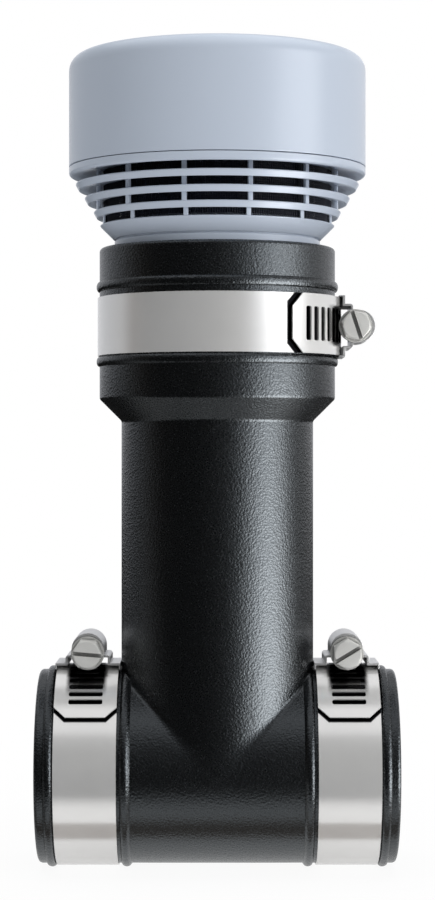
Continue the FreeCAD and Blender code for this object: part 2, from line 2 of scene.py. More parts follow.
# An air admittance valve stands in the collar of a black rubber tee, held by three worm-drive clamps.
# The solids, made first in another program, are the frame of this lesson: every piece made here sits
# where its solid sits. The frame is loaded first. The dressed object may not outgrow it.

# %% Load the frame
import bpy
import bmesh
import math
import numpy as np
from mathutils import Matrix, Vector


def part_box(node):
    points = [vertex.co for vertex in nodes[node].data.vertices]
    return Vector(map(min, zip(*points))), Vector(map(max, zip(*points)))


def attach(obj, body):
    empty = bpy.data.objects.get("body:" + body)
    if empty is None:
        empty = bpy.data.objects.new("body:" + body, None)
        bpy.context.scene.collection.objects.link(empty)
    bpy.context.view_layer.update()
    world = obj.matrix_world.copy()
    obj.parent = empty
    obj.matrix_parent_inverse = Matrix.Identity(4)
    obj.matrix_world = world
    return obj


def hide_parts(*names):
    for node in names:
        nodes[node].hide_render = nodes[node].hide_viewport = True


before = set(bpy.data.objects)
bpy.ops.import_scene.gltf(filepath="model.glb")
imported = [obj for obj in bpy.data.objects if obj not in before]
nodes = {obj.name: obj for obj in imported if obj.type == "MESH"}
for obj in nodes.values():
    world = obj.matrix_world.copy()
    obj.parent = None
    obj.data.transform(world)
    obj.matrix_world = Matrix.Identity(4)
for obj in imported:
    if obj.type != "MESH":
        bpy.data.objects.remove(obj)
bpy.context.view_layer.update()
MM = 0.001

# %% [markdown]
# The photograph was taken level, from straight in front, with a long lens. The fitted camera stands
# 608 mm away and 108 mm above the lowest ridge, so the cap is seen from below and the run from above.
# The long side of the sensor is the height of the picture.


# %% Camera
def add_object(name, data):
    """A new object, linked into the scene."""
    made = bpy.data.objects.new(name, data)
    bpy.context.scene.collection.objects.link(made)
    return made


camera = add_object("camera", bpy.data.cameras.new("camera"))
camera.location = (0.05 * MM, -607.8 * MM, 108.41 * MM)
camera.rotation_euler = (math.radians(90), 0, 0)
camera.data.lens = 93.05
camera.data.sensor_width = 36.0
camera.data.clip_start = 0.01
camera.data.clip_end = 20.0
bpy.context.scene.camera = camera
print("camera height in mm:", round(camera.location.z / MM, 2))

# %% [markdown]
# Materials, repeats and the studio are all built from nodes, so two helpers come first. They give each
# input a plain value, a socket or another node, which keeps every recipe short. Materials are fed by
# procedural patterns on Object coordinates, so that a pattern keeps its size in millimetres.


# %% Helpers for nodes and materials
def set_inputs(tree, node, values):
    """Give inputs, by name or number, a plain value, a socket, or the first output of a node."""
    for key, value in values.items():
        if isinstance(value, bpy.types.Node):
            value = value.outputs[0]
        if isinstance(value, bpy.types.NodeSocket):
            tree.links.new(value, node.inputs[key])
        else:
            node.inputs[key].default_value = value


def add_node(tree, kind, values=None, settings=None):
    """One node, with its own settings and its inputs."""
    node = tree.nodes.new(kind)
    for key, value in (settings or {}).items():
        setattr(node, key, value)
    set_inputs(tree, node, values or {})
    return node


def start_material(name):
    """A new material, its node tree and its Principled shader."""
    material = bpy.data.materials.new(name)
    material.use_nodes = True
    tree = material.node_tree
    return material, tree, tree.nodes["Principled BSDF"]


def object_points(tree, scale=(1, 1, 1)):
    """Object coordinates, stretched by a Mapping node where a pattern has a direction."""
    place = add_node(tree, "ShaderNodeTexCoord")
    return add_node(tree, "ShaderNodeMapping", {
        "Vector": place.outputs["Object"], "Scale": scale}).outputs[0]


def noise(tree, points, size_mm, detail=2.0, roughness=0.5, distortion=0.0):
    """A noise whose features are about size_mm across."""
    return add_node(tree, "ShaderNodeTexNoise", {
        "Vector": points, "Scale": 1 / (size_mm * MM), "Detail": detail, "Roughness": roughness,
        "Distortion": distortion}).outputs["Fac"]


def mix_colours(tree, factor, low, high):
    """Two colours, each three numbers or a socket, blended by a factor from 0 to 1."""
    node = add_node(tree, "ShaderNodeMix", {0: factor}, {"data_type": "RGBA"})
    sockets = [number for number, socket in enumerate(node.inputs) if socket.type == "RGBA"]
    for number, colour in zip(sockets, (low, high)):
        set_inputs(tree, node, {number: colour + (1,) if isinstance(colour, tuple) else colour})
    return [s for s in node.outputs if s.type == "RGBA"][0]


def ramp(tree, factor, low, high):
    """Two numbers or colours blended by a factor from 0 to 1."""
    if isinstance(low, tuple):
        return mix_colours(tree, factor, low, high)
    return add_node(tree, "ShaderNodeMapRange", {"Value": factor, "To Min": low, "To Max": high}).outputs[0]


def bump(tree, height, depth_mm, strength=1.0, below=None):
    """Turn a height pattern into small dents and rises, on top of another bump where one is given."""
    node = add_node(tree, "ShaderNodeBump", {
        "Height": height, "Strength": strength, "Distance": depth_mm * MM})
    if below is not None:
        set_inputs(tree, node, {"Normal": below})
    return node.outputs["Normal"]


def maths(tree, operation, *terms):
    """A Math node whose inputs are sockets or numbers."""
    return add_node(tree, "ShaderNodeMath", dict(enumerate(terms)), {"operation": operation}).outputs[0]


def product(tree, *terms):
    """Several sockets or numbers multiplied."""
    whole = terms[0]
    for term in terms[1:]:
        whole = maths(tree, "MULTIPLY", whole, term)
    return whole


def fade(tree, value, start, end):
    """A smooth step from 0 at the start to 1 at the end."""
    return add_node(tree, "ShaderNodeMapRange", {"Value": value, "From Min": start, "From Max": end},
                    {"interpolation_type": "SMOOTHSTEP"}).outputs[0]


def axes_of(tree, vector):
    """The X, Y and Z of a vector, by name."""
    return add_node(tree, "ShaderNodeSeparateXYZ", {0: vector}).outputs


print("helpers ready")

# %% [markdown]
# The tee is moulded rubber with a fine leathery grain, which comes from the etched mould. A picture of
# leather would stretch over the cone and the ridges, so two noises make it: a distorted one for the
# wandering wrinkles and a Voronoi one for the small cells between them. It mostly shows where a lamp
# glances off it.


# %% Rubber
def grained_rubber():
    material, tree, shader = start_material("grained rubber")
    points = object_points(tree)
    wrinkles = noise(tree, points, 0.40, 2.0, 0.55, 0.8)
    cells = add_node(tree, "ShaderNodeTexVoronoi", {
        "Vector": points, "Scale": 1 / (0.55 * MM), "Smoothness": 0.25}, {"feature": "SMOOTH_F1"})
    clouds = noise(tree, points, 14.0)
    grain = bump(tree, cells.outputs["Distance"], 0.075, 0.9)
    set_inputs(tree, shader, {
        "Base Color": ramp(tree, clouds, (0.0022, 0.0023, 0.0025), (0.0034, 0.0035, 0.0038)),
        "Roughness": ramp(tree, wrinkles, 0.22, 0.32),
        "Normal": bump(tree, wrinkles, 0.055, 0.9, grain),
        "Specular IOR Level": 1.0,
        "Specular Tint": (0.86, 0.94, 1.0, 1)})
    return material


rubber = grained_rubber()
print("made", rubber.name)

# %% [markdown]
# The valve is injection-moulded plastic, pale grey-blue and glossy. A moulded surface is never quite
# flat: a very soft swell breaks the long highlights, and a faint change of gloss keeps it from looking
# like paint. A thin coat gives the crisp edge of the highlight over the softer body.


# %% Valve plastic
def moulded_plastic():
    material, tree, shader = start_material("moulded plastic")
    points = object_points(tree)
    swell = noise(tree, points, 22.0, 1.0)
    fine = noise(tree, points, 0.9, 2.0)
    set_inputs(tree, shader, {
        "Base Color": ramp(tree, swell, (0.490, 0.545, 0.635), (0.510, 0.567, 0.655)),
        "Roughness": ramp(tree, fine, 0.26, 0.34),
        "Normal": bump(tree, fine, 0.006, 0.25, bump(tree, swell, 0.25, 0.20)),
        "Specular IOR Level": 0.30,
        "Coat Weight": 0.30,
        "Coat Roughness": 0.08})
    return material


plastic = moulded_plastic()
print("made", plastic.name)

# %% [markdown]
# The clamps are stainless steel in three finishes. The band is rolled strip, polished, with hairlines
# that run along it. The housing is pressed and tumbled, so it is satin. The screw is zinc plated and
# matt. One recipe serves all three, and an Ambient Occlusion node paints shade into the creases of
# housings and screws. A strip also has painted shade, nearly black, where its own tail covers it, and
# by the housing round the slots in which the worm works.

# %% Places of the clamps in mm
run_axis = 26.05
run_r = 25.1
collar_r = 30.7
clamp_x = 33.4
collar_clamp_z = 140.4
strip_metal = 0.53
# Colours of painted shade: on a strip beneath its tail and by its housing, and in the creases of housings
# and screws.
strip_shade_colour = (0.004, 0.004, 0.005)
crease_shade_colour = (0.05, 0.05, 0.048)
print("run strips at x:", (-clamp_x, clamp_x), "collar strip at z:", collar_clamp_z)


# %% Steels
def steel(name, colour, gloss, hairline, depth_mm, metallic=1.0, shade_crease_mm=0.0, stretch=(1, 1, 1)):
    """Metal with a stretched grain that shifts the gloss, and painted shade in its creases if asked for."""
    material, tree, shader = start_material(name)
    lines = noise(tree, object_points(tree, stretch), hairline, 4.0, 0.65)
    clouds = noise(tree, object_points(tree), 6.0)
    tone = ramp(tree, clouds, tuple(0.94 * c for c in colour), colour)
    if shade_crease_mm:
        # Painted shade: Ambient Occlusion darkens the colour in creases.
        occlusion = add_node(tree, "ShaderNodeAmbientOcclusion", {"Distance": shade_crease_mm * MM}, {"samples": 8})
        tone = mix_colours(tree, fade(tree, occlusion.outputs["AO"], 0.30, 0.85), crease_shade_colour, tone)
    set_inputs(tree, shader, {
        "Base Color": tone,
        "Roughness": ramp(tree, lines, gloss[0], gloss[1]),
        "Normal": bump(tree, lines, depth_mm, 0.5),
        "Metallic": metallic})
    return material


def paint_strip_shade(material, up, middle, side, side_middle, wrapped_r, tail_deg, housing_shade_deg):
    """Paint shade on a strip: darken it where its own tail covers it, and by the housing where the worm
    works in the tail's slots.

    The turn is in degrees from the top over the front, and tail_deg is where the tail ends.
    """
    tree = material.node_tree
    shader = tree.nodes["Principled BSDF"]
    parts = axes_of(tree, object_points(tree))
    front = product(tree, parts["Y"], -1.0)
    height = maths(tree, "SUBTRACT", parts[up], middle * MM)
    square = maths(tree, "MULTIPLY_ADD", front, front, product(tree, height, height))
    radius = maths(tree, "SQRT", square)
    turn = maths(tree, "DIVIDE", maths(tree, "ARCTAN2", front, height), math.radians(1))
    beside = maths(tree, "ABSOLUTE", parts[side])
    beside = maths(tree, "ABSOLUTE", maths(tree, "SUBTRACT", beside, side_middle * MM))
    past_corner = maths(tree, "MAXIMUM", maths(tree, "SUBTRACT", beside, 5.3 * MM), 0.0)
    sloped = maths(tree, "MULTIPLY_ADD", past_corner, math.degrees(1 / (wrapped_r * MM)), turn)
    first_turn = fade(tree, radius, (wrapped_r + 0.9) * MM, (wrapped_r + 0.7) * MM)
    past_start = fade(tree, turn, -24, -20)
    shade_under_tail = product(tree, first_turn, fade(tree, sloped, tail_deg + 2.4, tail_deg + 1.4), past_start)
    beside = fade(tree, beside, 5.6 * MM, 4.2 * MM)
    shade_by_housing = product(tree, beside, fade(tree, turn, *housing_shade_deg), past_start)
    # Painted shade: the first turn beneath the tail, and the tail by the housing, go nearly black and less
    # metallic.
    painted_shade = maths(tree, "MAXIMUM", shade_under_tail, shade_by_housing)
    unshaded = shader.inputs["Base Color"].links[0].from_socket
    set_inputs(tree, shader, {
        "Base Color": mix_colours(tree, painted_shade, unshaded, strip_shade_colour),
        "Metallic": maths(tree, "MULTIPLY_ADD", painted_shade, 1 - strip_metal, strip_metal)})


bright = (0.88, 0.87, 0.855)
run_strip, collar_strip = [
    steel("rolled strip on the " + place, bright, (0.15, 0.21), 0.35, 0.0012, stretch=stretch)
    for place, stretch in (("run", (1, 0.03, 0.03)), ("collar", (0.03, 0.03, 1)))]
paint_strip_shade(run_strip, "Z", run_axis, "X", clamp_x, run_r, 55.7, (44, 29))
paint_strip_shade(collar_strip, "X", 0.0, "Z", collar_clamp_z, collar_r, 54.1, (31, 20))
# Housing and screw steels carry painted shade in their creases.
pressed = steel("pressed steel", (0.68, 0.68, 0.68), (0.28, 0.38), 0.5, 0.006, 0.60, 0.8)
plated = steel("zinc plating", (0.64, 0.635, 0.61), (0.50, 0.60), 0.7, 0.008, 0.25, 1.2)
# Near-black steel for the saddles: painted shade below the housings.
shadow_black = steel("oiled steel", (0.010, 0.010, 0.010), (0.40, 0.50), 0.5, 0.006)
spring = steel("spring steel", (0.42, 0.42, 0.43), (0.25, 0.35), 0.4, 0.006)
print("made", [m.name for m in (run_strip, collar_strip, pressed, plated, shadow_black, spring)])

# %% [markdown]
# Inside the cage everything is dark: the net, the seat tube and the disc are black plastic, and the
# membrane and the cap's seal are smooth black rubber. The bush is natural acetal, a warm white. They are
# seen only in glimpses, so one recipe with a fine moulded texture is enough.


# %% Inner plastics and seals
def inner_finish(name, colour, gloss, texture_mm, level=0.5):
    material, tree, shader = start_material(name)
    fine = noise(tree, object_points(tree), texture_mm, 2.0)
    set_inputs(tree, shader, {
        "Base Color": ramp(tree, fine, tuple(0.85 * c for c in colour), colour),
        "Roughness": ramp(tree, fine, gloss[0], gloss[1]),
        "Normal": bump(tree, fine, 0.02, 0.4),
        "Specular IOR Level": level})
    return material


net_black = inner_finish("net", (0.006, 0.008, 0.015), (0.40, 0.50), 0.5, 0.25)
black = inner_finish("black plastic", (0.010, 0.0105, 0.013), (0.32, 0.45), 0.8)
seal = inner_finish("smooth seal", (0.016, 0.016, 0.017), (0.45, 0.60), 1.5, 0.35)
acetal = inner_finish("natural acetal", (0.72, 0.70, 0.64), (0.30, 0.40), 0.8)
print("made", [m.name for m in (net_black, black, seal, acetal)])

# %% [markdown]
# Cap, spigot and cage rings are turned shapes. Each is drawn as a half section, a list of corners
# with a rounding at each, and turned about the branch's axis. The section keeps every edge's rounding
# in view, which a later bevel would not. A little support is left beside each arc, so the flat faces
# stay flat under smooth shading.


# %% Helpers for turned pieces
def add_row(points, row):
    """Add a row of points, and return their numbers."""
    points += row
    return range(len(points) - len(row), len(points))


def bridge(faces, first, second, closed=False):
    """Quads between two rows of points of the same length."""
    count = len(first)
    for number in range(count if closed else count - 1):
        other = (number + 1) % count
        faces.append((first[number], second[number], second[other], first[other]))


def unit(vector):
    return vector / np.linalg.norm(vector)


def merged(mesh, apart_mm):
    """A mesh opened for work, with the points that lie together made one."""
    work = bmesh.new()
    work.from_mesh(mesh)
    bmesh.ops.remove_doubles(work, verts=work.verts, dist=apart_mm * MM)
    return work


def write_back(work, mesh):
    work.to_mesh(mesh)
    work.free()


def smooth(mesh):
    """Smooth shading, but for the corners sharper than 32 degrees."""
    mesh.shade_smooth()
    mesh.set_sharp_from_angle(angle=math.radians(32))


def rounded(corners, turn_deg=9.0):
    """The points of a closed outline in mm, from corners (radius, height, rounding)."""
    points = []
    for before, corner, after in zip(corners[-1:] + corners, corners, corners[1:] + corners[:1]):
        here = np.array(corner[:2])
        rounding = corner[2]
        arm_in = unit(np.array(before[:2]) - here)
        arm_out = unit(np.array(after[:2]) - here)
        if rounding <= 0:
            points.append(here)
            continue
        half = math.acos(max(-1, min(1, float(arm_in @ arm_out)))) / 2
        cut = rounding / math.tan(half)
        middle = here + unit(arm_in + arm_out) * rounding / math.sin(half)
        first = here + arm_in * cut
        last = here + arm_out * cut
        support = min(0.12, 0.4 * rounding)
        points.append(first + arm_in * support)
        steps = max(2, math.ceil(math.degrees(math.pi - 2 * half) / turn_deg))
        start = first - middle
        angle = math.atan2(start[1], start[0])
        end = last - middle
        span = math.atan2(end[1], end[0]) - angle
        span = (span + math.pi) % (2 * math.pi) - math.pi
        for step in range(steps + 1):
            turn = angle + span * step / steps
            points.append(middle + rounding * np.array([math.cos(turn), math.sin(turn)]))
        points.append(last + arm_out * support)
    return points


def plain_mesh(name, points_mm, faces, material):
    """A mesh object from points in mm, smooth but for its sharp corners, with faces outwards."""
    mesh = bpy.data.meshes.new(name)
    mesh.from_pydata([tuple(p) for p in np.asarray(points_mm) * MM], [], faces)
    work = merged(mesh, 0.0005)
    bmesh.ops.recalc_face_normals(work, faces=work.faces)
    write_back(work, mesh)
    smooth(mesh)
    mesh.materials.append(material)
    return add_object(name, mesh)


def turned(name, corners, material, steps=256):
    """Turn a closed half section about the Z axis."""
    section = rounded(corners)
    points = []
    faces = []
    rows = []
    for step in range(steps):
        turn = 2 * math.pi * step / steps
        rows.append(add_row(points, [(r * math.cos(turn), r * math.sin(turn), z) for r, z in section]))
    for row, following in zip(rows, rows[1:] + rows[:1]):
        bridge(faces, row, following, closed=True)
    return plain_mesh(name, points, faces, material)


def finish_piece(piece, body, slot, *replaced):
    """Put a piece on its body and hide the solids it stands for. The name of its finish is not used."""
    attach(piece, body)
    if replaced:
        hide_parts(*replaced)
    print(piece.name, "triangles:", sum(len(p.vertices) - 2 for p in piece.data.polygons))


# %% [markdown]
# The cap is a smooth cup with a generous rounding round its top. Its lower edge is only just eased,
# and it stands two tenths of a millimetre above the flange, which is the thin dark seam.

# %% Cap
cap_r = 38.665
cap_foot = 181.96
cap_top = 211.06
cap_wall = 2.2
cap = turned("cap", [
    (cap_r - cap_wall, cap_foot, 0.15),
    (cap_r, cap_foot, 0.22),
    (cap_r, cap_top, 4.15),
    (0.0, cap_top, 0),
    (0.0, cap_top - cap_wall, 0),
    (cap_r - cap_wall, cap_top - cap_wall, 2.8),
], plastic)
finish_piece(cap, "fixed_body", "valve_plastic", "vent_cap")

# %% [markdown]
# The spigot's moulding widens in a funnel to the ledge that carries the cage. Only the shoulder and
# the funnel show: a thin groove divides them, and both take long soft highlights, so their edges are
# rounded with care. The inner neck holds the seat tube.

# %% Spigot
spigot_foot = 129.05
rim_z = 160.85
shoulder_top = rim_z + 2.0
funnel_foot = rim_z + 2.35
louvre_z = 166.81
neck_top = 168.11
branch_r = 25.0
neck_r = 22.4
inner_neck_r = 24.3
shoulder_r = 26.8
thin_groove_r = 26.2
spigot = turned("spigot", [
    (neck_r, spigot_foot, 0.2),
    (branch_r - 0.8, spigot_foot, 0.2),
    (branch_r, spigot_foot + 0.8, 0.3),
    (branch_r, rim_z, 0),
    (shoulder_r, rim_z, 0.15),
    (shoulder_r, shoulder_top, 0.35),
    (thin_groove_r, shoulder_top, 0),
    (thin_groove_r, funnel_foot, 0),
    (27.05, funnel_foot, 0.30),
    (30.6, louvre_z - 0.10, 0.22),
    (30.45, louvre_z, 0.10),
    (28.85, louvre_z, 0.2),
    (25.21, louvre_z - 2.2, 0.4),
    (inner_neck_r, louvre_z - 1.75, 0.2),
    (inner_neck_r, neck_top, 0.15),
    (neck_r, neck_top, 0.15),
], plastic)
finish_piece(spigot, "fixed_body", "valve_plastic", "valve_spigot")

# %% [markdown]
# The cage is four slots between the ledge, three louvre rings and the flange. Each ring leans out to
# its top edge, and each is wider than the one below. Their undersides fall outwards, so rain drips off
# and the slots look black from the front. The rings and the flange are turned, and the twelve thin
# posts between them repeat, so Geometry Nodes set them on a circle.

# %% Rings and flange
cage_bore = 29.9
lowest_ring_r = 32.4
ring_step = 2.35
ring_lean = 1.0
louvre_pitch = 3.63
slot_height = 1.86
louvre_rise = math.tan(math.radians(8.0))
flange_round = 0.85
ring_list = []
for number in range(3):
    top = louvre_z + (number + 1) * louvre_pitch
    low = top - louvre_pitch + slot_height
    edge_r = lowest_ring_r + ring_step * number
    foot_r = edge_r - ring_lean
    ring_list.append(turned("louvre_ring_%d" % (number + 1), [
        (cage_bore, low + (foot_r - cage_bore) * louvre_rise, 0.15),
        (foot_r, low, 0.25),
        (edge_r, top, 0.28),
        (cage_bore, top, 0.15),
    ], plastic))
flange_z = louvre_z + 3 * louvre_pitch + slot_height
flange_top = flange_z + 2.2
lip_r = 36.345
lip_bore = 34.145
groove_r = 35.0
seat_r = 31.6
seat_top = 184.06
flange = turned("cage_flange", [
    (cage_bore, flange_z + (cap_r - flange_round - cage_bore) * louvre_rise, 0.15),
    (cap_r, flange_z - flange_round * louvre_rise, flange_round),
    (cap_r, flange_top, 0.22),
    (lip_r, flange_top, 0),
    (lip_r, flange_z + 3.38, 0),
    (groove_r, flange_z + 3.38, 0),
    (groove_r, flange_z + 4.82, 0),
    (lip_r, flange_z + 4.82, 0),
    (lip_r, flange_z + 7.0, 0.15),
    (lip_bore, flange_z + 7.0, 0.15),
    (lip_bore, flange_top, 0),
    (seat_r, flange_top, 0),
    (seat_r, seat_top - 0.7, 0),
    (seat_r - 1.0, seat_top, 0.1),
    (cage_bore, seat_top, 0.1),
], plastic)
for ring in ring_list:
    finish_piece(ring, "fixed_body", "valve_plastic")
finish_piece(flange, "fixed_body", "valve_plastic", "louvre_cage")

# %% [markdown]
# Helpers for Geometry Nodes start a tree with named inputs, end it as real geometry, run it on an empty
# mesh and keep the result as a plain mesh. The inputs are set by their identifiers before the object
# is looked at for the first time.


# %% Helpers for Geometry Nodes
def start_tree(name, numbers, counts=()):
    """A tree with named inputs and one geometry output, and the sockets of its inputs."""
    tree = bpy.data.node_groups.new(name, "GeometryNodeTree")
    for kind, labels in (("Float", numbers), ("Int", counts), ("Material", ("Material",))):
        for label in labels:
            tree.interface.new_socket(label, in_out="INPUT", socket_type="NodeSocket" + kind)
    tree.interface.new_socket("Geometry", in_out="OUTPUT", socket_type="NodeSocketGeometry")
    return tree, tree.nodes.new("NodeGroupInput").outputs


def finish_tree(tree, geometry, material):
    """Every tree ends as real geometry with its material set."""
    real = add_node(tree, "GeometryNodeRealizeInstances", {"Geometry": geometry})
    dressed = add_node(tree, "GeometryNodeSetMaterial", {"Geometry": real, "Material": material})
    add_node(tree, "NodeGroupOutput", {0: dressed})
    return tree


def upright_line(tree, foot, top):
    """A line up the Z axis, and the point at its foot."""
    low = add_node(tree, "ShaderNodeCombineXYZ", {"Z": foot})
    high = add_node(tree, "ShaderNodeCombineXYZ", {"Z": top})
    return add_node(tree, "GeometryNodeCurvePrimitiveLine", {"Start": low, "End": high}), low


def sweep(tree, path, profile):
    """A closed tube or bar along a path."""
    return add_node(tree, "GeometryNodeCurveToMesh", {
        "Curve": path, "Profile Curve": profile, "Fill Caps": True})


def grow(name, tree, values):
    """Run a tree with its inputs set, and keep what it makes as a plain mesh."""
    base = add_object(name, bpy.data.meshes.new(name + "_start"))
    modifier = base.modifiers.new("nodes", "NODES")
    modifier.node_group = tree
    for item in tree.interface.items_tree:
        if item.in_out == "INPUT" and item.name in values:
            modifier[item.identifier] = values[item.name]
    depsgraph = bpy.context.evaluated_depsgraph_get()
    made = bpy.data.meshes.new_from_object(base.evaluated_get(depsgraph), depsgraph=depsgraph)
    base.modifiers.remove(modifier)
    base.data = made
    made.name = name
    smooth(made)
    return base


# %% [markdown]
# A post is a short bar with a rounded section. The tree sweeps a filleted rectangle up a line, turns
# one copy to face outwards at each point of a circle, and that is the whole ring of posts. Low posts
# stand between the ledge and the lowest ring, and long ones behind all three rings.


# %% Ring of posts
def posts_tree():
    numbers = ("Radius", "Depth", "Width", "Rounding", "Foot", "Top", "Turn")
    tree, given = start_tree("ring of posts", numbers, ("Count",))
    line, _ = upright_line(tree, given["Foot"], given["Top"])
    section = add_node(tree, "GeometryNodeCurvePrimitiveQuadrilateral", {
        "Width": given["Width"], "Height": given["Depth"]})
    eased = add_node(tree, "GeometryNodeFilletCurve", {
        "Curve": section, "Radius": given["Rounding"], "Count": 3}, {"mode": "POLY"})
    upright = add_node(tree, "GeometryNodeSetCurveNormal", {"Curve": line, "Normal": (0, 1, 0)},
                       {"mode": "FREE"})
    circle = add_node(tree, "GeometryNodeMeshCircle", {
        "Vertices": given["Count"], "Radius": given["Radius"]})
    spin = add_node(tree, "ShaderNodeCombineXYZ", {"Z": given["Turn"]})
    points = add_node(tree, "GeometryNodeTransform", {"Geometry": circle, "Rotation": spin})
    place = add_node(tree, "GeometryNodeInputPosition")
    facing = add_node(tree, "FunctionNodeAlignRotationToVector", {"Vector": place},
                      {"axis": "X", "pivot_axis": "Z"})
    ring = add_node(tree, "GeometryNodeInstanceOnPoints", {
        "Points": points, "Instance": sweep(tree, upright, eased), "Rotation": facing})
    return finish_tree(tree, ring, given["Material"])


posts = posts_tree()
post_width = 1.2
post_rings = (("low_posts", cage_bore, 30.45, louvre_z, 169.2),
              ("long_posts", 31.2, 32.15, 170.39, flange_z + 1.1))
for label, inner, outer, foot, top in post_rings:
    ring = grow(label, posts, {
        "Count": 12, "Radius": (inner + outer) / 2 * MM, "Depth": (outer - inner) * MM,
        "Width": post_width * MM, "Rounding": 0.15 * MM, "Foot": foot * MM, "Top": top * MM,
        "Turn": math.radians(15), "Material": plastic})
    finish_piece(ring, "fixed_body", "valve_plastic")

# %% [markdown]
# Behind the slots stands a net that keeps insects out. The solid shows it as a drum with windows. The
# real one has hundreds of wires, so a tree makes it: upright wires on a circle and hoops on a line,
# each a thin four-sided tube, because a piece repeated so often has only a few faces.


# %% Net
def net_tree():
    tree, given = start_tree("net drum", ("Radius", "Wire", "Foot", "Top"), ("Columns", "Rows"))
    wire = add_node(tree, "GeometryNodeCurvePrimitiveCircle", {"Radius": given["Wire"], "Resolution": 4})
    line, low = upright_line(tree, given["Foot"], given["Top"])
    circle = add_node(tree, "GeometryNodeMeshCircle", {
        "Vertices": given["Columns"], "Radius": given["Radius"]})
    uprights = add_node(tree, "GeometryNodeInstanceOnPoints", {
        "Points": circle, "Instance": sweep(tree, line, wire)})
    hoop_r = maths(tree, "SUBTRACT", given["Radius"], given["Wire"])
    path = add_node(tree, "GeometryNodeCurvePrimitiveCircle", {
        "Radius": hoop_r, "Resolution": given["Columns"]})
    hoop = add_node(tree, "GeometryNodeCurveToMesh", {"Curve": path, "Profile Curve": wire})
    span = maths(tree, "SUBTRACT", given["Top"], given["Foot"])
    step = maths(tree, "DIVIDE", span, maths(tree, "SUBTRACT", given["Rows"], 1))
    offset = add_node(tree, "ShaderNodeCombineXYZ", {"Z": step})
    ladder = add_node(tree, "GeometryNodeMeshLine", {
        "Count": given["Rows"], "Start Location": low, "Offset": offset}, {"mode": "OFFSET"})
    hoops = add_node(tree, "GeometryNodeInstanceOnPoints", {"Points": ladder, "Instance": hoop})
    both = add_node(tree, "GeometryNodeJoinGeometry", {0: uprights})
    set_inputs(tree, both, {0: hoops})
    return finish_tree(tree, both, given["Material"])


net = grow("insect_net", net_tree(), {
    "Columns": 300, "Rows": 27, "Radius": 29.55 * MM, "Wire": 0.15 * MM, "Foot": (louvre_z + 0.16) * MM,
    "Top": 182.7 * MM, "Material": net_black})
finish_piece(net, "fixed_body", "screen_mesh", "insect_screen")

# %% [markdown]
# The tee is one rubber moulding, and its main shape follows a rule: a branch meets a run of the same
# size, so their skins cross in two arcs that look like a V from the front. A solid union leaves a
# hard crease there. Here both skins are grids that share the crease's points, and the points near it
# are then pulled onto a smooth union of the two cylinders, which fades out towards the front as the
# real moulding does. The bores are made the same way, and the ends are closed with narrow rings.

# %% Sections of the tee
waterway_r = 18.2
waterway_top = 44.05
pipe_r = 20.0
pipe_z = 56.05
spigot_bore = 25.05
branch_top = 114.0
cone_z = 115.95
collar_z = 121.65
stop_z = 127.85
run_half = 46.2
pipe_stop_x = 19.2
end_round = 1.0
corner_round = 1.1
run_ridges = (23.45, 42.75)
collar_ridges = (131.35, 150.75)
blend_reach = 0.8
columns = 192


def swell_of(distance, width, height):
    """How far a round ridge stands out at a distance from its middle, with a small foot."""
    half = width / 2
    across = np.clip(1 - (distance / half) ** 2, 0, None)
    return height * np.sqrt(across) * np.clip(across * 4, 0, 1) ** 0.5


def run_radius(x):
    """The run's outside radius at x, ridges and rounded ends included."""
    x = abs(x)
    radius = run_r
    for middle in run_ridges:
        radius = radius + float(swell_of(x - middle, 2.4, 0.95))
    past = x - (run_half - end_round)
    if past > 0:
        radius = run_r - end_round + math.sqrt(max(0.0, end_round ** 2 - past ** 2))
    return radius


def arc(middle_r, middle_z, radius, degrees):
    """Points of a section on a part of a circle."""
    return [(middle_r + radius * math.cos(a), middle_z + radius * math.sin(a)) for a in np.radians(degrees)]


end_xs = [25.3, 30.0, 36.0, 41.3, 41.5] + list(np.linspace(41.55, 43.95, 17)) + [44.0, 44.5, 45.1]
end_xs += [z for _, z in arc(0.0, run_half - end_round, end_round, range(0, 100, 10))]
section = [(branch_r, branch_top + 1.0), (branch_r, branch_top + 1.6)]
section += arc(branch_r + corner_round, cone_z - 0.45, corner_round, range(180, 134, -9))
section += arc(collar_r - corner_round, collar_z + 0.45, corner_round, range(-45, 1, 9))
for middle in collar_ridges:
    section.append((collar_r, middle - 1.5))
    for z in np.linspace(middle - 1.3, middle + 1.3, 15):
        section.append((collar_r + float(swell_of(z - middle, 2.6, 0.8)), z))
    section.append((collar_r, middle + 1.5))
section += [(collar_r, 155.0), (collar_r, rim_z - end_round - 0.1)]
section += arc(collar_r - end_round, rim_z - end_round, end_round, range(0, 91, 10))
print("collar section points:", len(section), "run end points:", len(end_xs))


# %% Helpers for crossing tubes
def crossing(tube_r, run_of_x, top_z):
    """Two grids, of the branch's wall and the run's wall, that share their crossing's points."""
    points = []
    faces = []
    branch = []
    for turn in turns:
        x = tube_r * math.cos(turn)
        y = tube_r * math.sin(turn)
        start = run_axis + math.sqrt(max(0.0, run_of_x(x) ** 2 - y * y))
        branch.append(add_row(points, [(x, y, start + (top_z - start) * share) for share in branch_shares]))
    for column, following in zip(branch, branch[1:] + branch[:1]):
        bridge(faces, column, following)
    run = []
    for turn in turns[:columns // 2 + 1]:
        x = tube_r * math.cos(turn)
        radius = run_of_x(x)
        start = math.asin(min(1.0, math.sqrt(max(0.0, tube_r ** 2 - x * x)) / radius))
        run.append(run_row(points, x, radius, start))
    for column, following in zip(run, run[1:]):
        bridge(faces, column, following)
    return points, faces, run, branch


def run_row(points, x, radius, start=0.0):
    """One row of points round the run's axis, from a start angle back to it."""
    row = [start + (2 * math.pi - 2 * start) * share for share in ring_shares]
    return add_row(points, [(x, radius * math.sin(t), run_axis + radius * math.cos(t)) for t in row])


